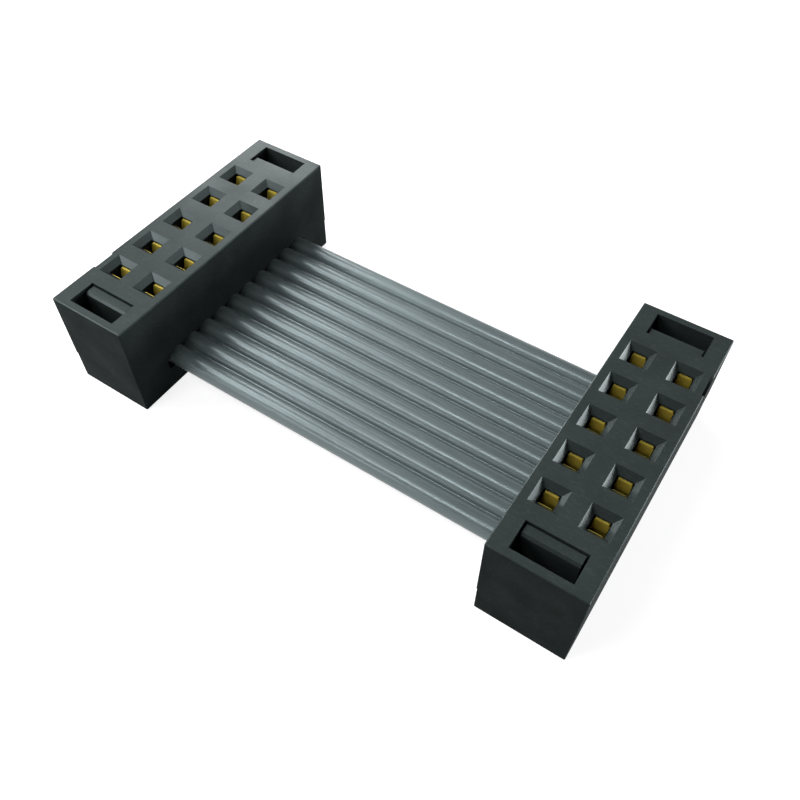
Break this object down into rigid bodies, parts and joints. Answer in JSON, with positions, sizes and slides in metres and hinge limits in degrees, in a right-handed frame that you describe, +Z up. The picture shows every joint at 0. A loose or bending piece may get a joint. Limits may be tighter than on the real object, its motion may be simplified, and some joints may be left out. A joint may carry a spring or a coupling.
{
  "type": "idc ribbon cable assembly",
  "caption": "Short flat ridged ribbon lead with a female pin socket clamped on each end, both mating faces upward.",
  "frame": {"origin": "on the ground, under the middle of the whole assembly", "axes": "+X along the ribbon towards the right socket, +Y along the rows of contacts, +Z up out of the mating faces"},
  "size_m": [0.0254, 0.014, 0.0051],
  "materials": {
    "housing": "satin moulded glass-filled plastic, charcoal",
    "ribbon": "glossy extruded grey insulation",
    "contact": "gold-plated copper alloy strip",
    "conductor": "tinned stranded copper"
  },
  "bodies": {
    "root": {"conductor_01": "conductor", "conductor_02": "conductor", "conductor_03": "conductor", "conductor_04": "conductor", "conductor_05": "conductor", "conductor_06": "conductor", "conductor_07": "conductor", "conductor_08": "conductor", "conductor_09": "conductor", "conductor_10": "conductor", "left_contact_a1": "contact", "left_contact_a2": "contact", "left_contact_a3": "contact", "left_contact_a4": "contact", "left_contact_a5": "contact", "left_contact_b1": "contact", "left_contact_b2": "contact", "left_contact_b3": "contact", "left_contact_b4": "contact", "left_contact_b5": "contact", "left_cover": "housing", "left_socket_body": "housing", "ribbon_insulation": "ribbon", "right_contact_a1": "contact", "right_contact_a2": "contact", "right_contact_a3": "contact", "right_contact_a4": "contact", "right_contact_a5": "contact", "right_contact_b1": "contact", "right_contact_b2": "contact", "right_contact_b3": "contact", "right_contact_b4": "contact", "right_contact_b5": "contact", "right_cover": "housing", "right_socket_body": "housing"}
  },
  "joints": []
}
